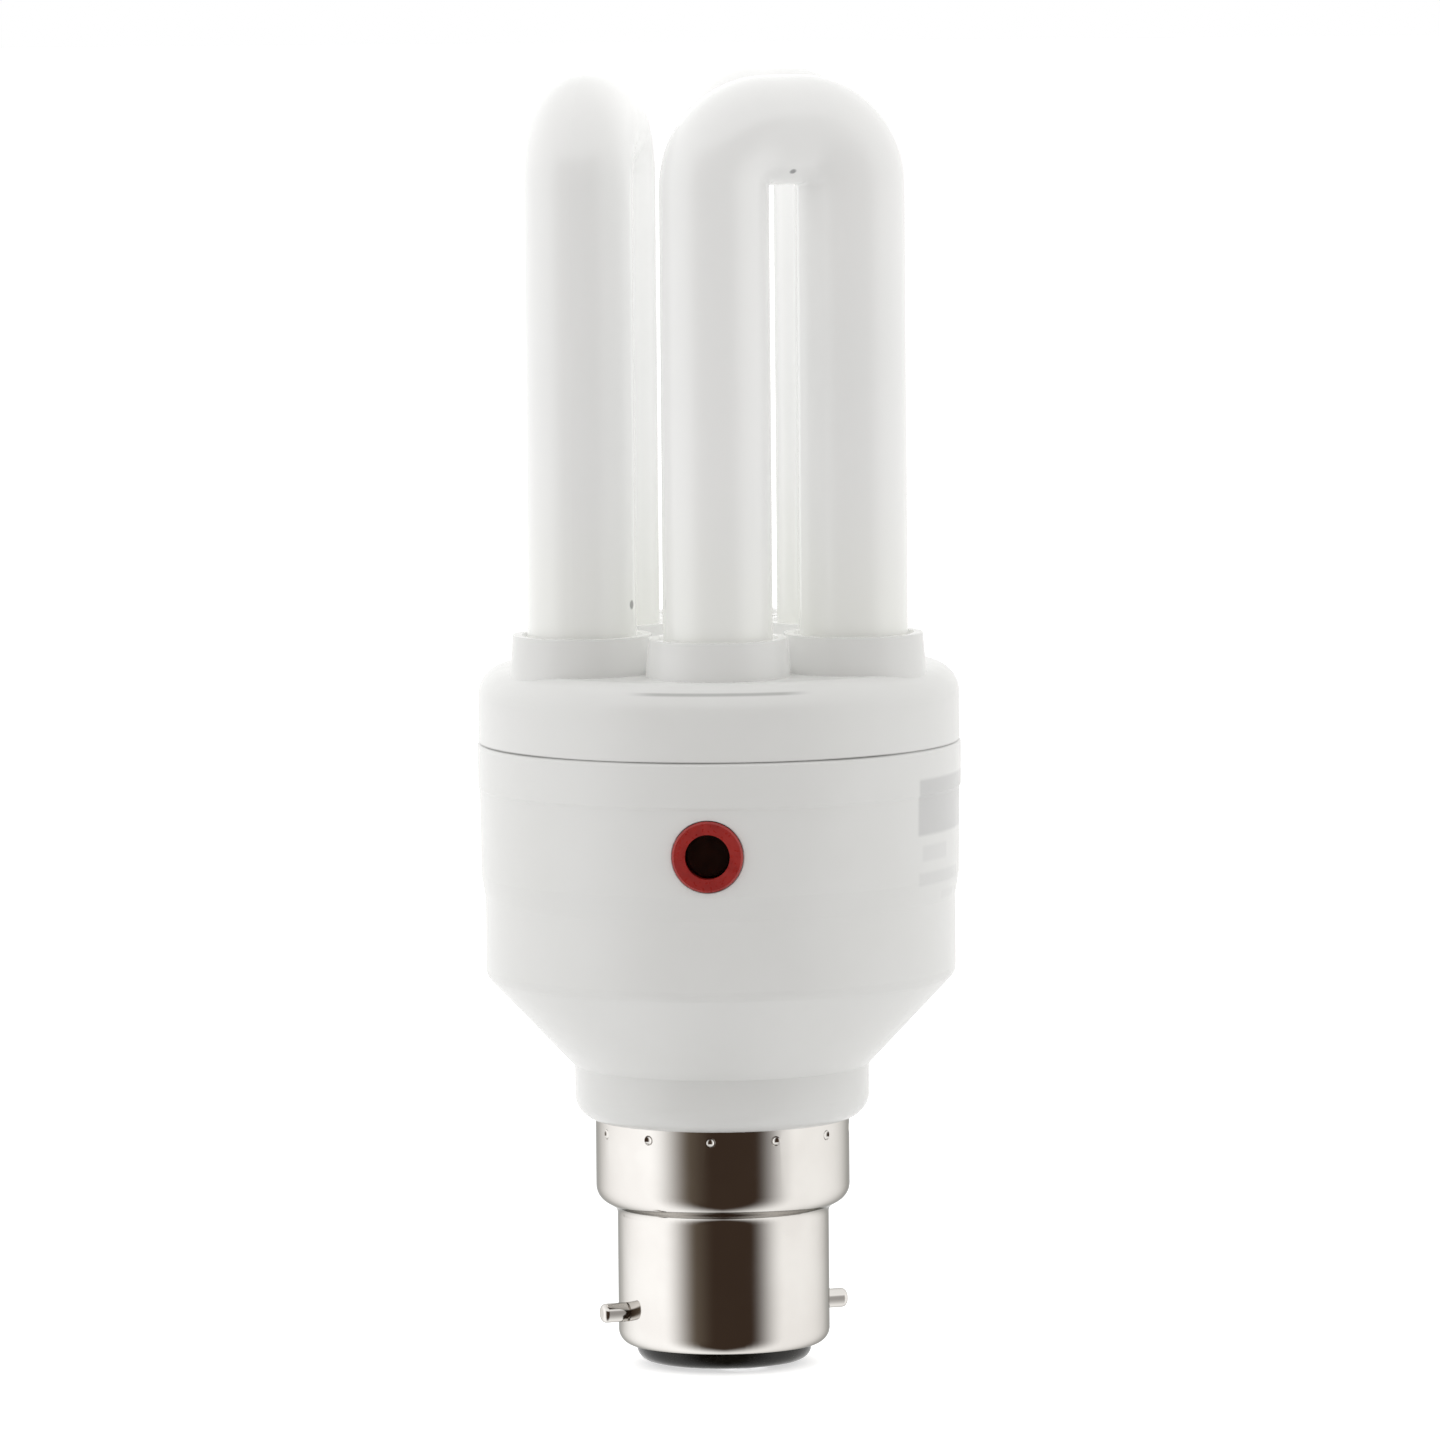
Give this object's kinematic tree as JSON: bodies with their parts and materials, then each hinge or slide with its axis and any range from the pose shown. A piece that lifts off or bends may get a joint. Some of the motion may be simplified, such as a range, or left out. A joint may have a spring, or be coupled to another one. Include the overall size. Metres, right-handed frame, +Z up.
{
  "type": "compact fluorescent lamp",
  "caption": "Compact fluorescent lamp with bent glass tubes on a collared cover, a white ballast housing with a red-ringed dusk sensor, and a nickel bayonet cap.",
  "frame": {"origin": "middle of the lamp's axis at the lowest point of the cap's two contacts", "axes": "+Z up the lamp's axis from the cap to the tops of the tubes; -Y towards the sensor, which is turned 3 degrees to -X; the bayonet pins lie at 22.5 degrees from the X axis"},
  "size_m": [0.0502, 0.0504, 0.1346],
  "materials": {
    "milky_glass": "gloss glass over a white phosphor coat",
    "white_plastic": "gloss",
    "red_plastic": "gloss",
    "dark_window": "gloss",
    "nickel": "polished",
    "black_insulator": "semi-gloss",
    "solder": "dull",
    "board": "matte",
    "cement": "matte",
    "capacitor_sleeve": "gloss",
    "ferrite": "matte",
    "yellow_plastic": "matte",
    "enamelled_wire": "gloss",
    "black_plastic": "matte",
    "red_film": "gloss",
    "green_film": "gloss",
    "resistor_coat": "satin",
    "tinned_wire": "bright",
    "red_insulation": "satin"
  },
  "bodies": {
    "root": {"discharge_tube": "milky_glass", "tube_cement": "cement", "cover": "white_plastic", "housing": "white_plastic", "sensor_ring": "red_plastic", "photocell": "dark_window", "sensor_leads": "tinned_wire", "cap_shell": "nickel", "bayonet_pin_left": "nickel", "bayonet_pin_right": "nickel", "cap_insulator": "black_insulator", "contact_front": "solder", "contact_rear": "solder", "circuit_board": "board", "electrolytic_capacitor": "capacitor_sleeve", "choke_core": "ferrite", "choke_bobbin": "yellow_plastic", "choke_winding": "enamelled_wire", "ring_transformer_core": "ferrite", "ring_transformer_windings": "enamelled_wire", "transistor_front": "black_plastic", "transistor_rear": "black_plastic", "resonant_capacitor": "red_film", "coupling_capacitor": "green_film", "filter_coil": "ferrite", "fuse_resistor": "resistor_coat", "rectifier_diodes": "black_plastic", "resistors": "resistor_coat", "wire_posts": "tinned_wire", "tube_leads": "tinned_wire", "supply_lead_front": "red_insulation", "supply_lead_rear": "red_insulation"}
  },
  "joints": []
}
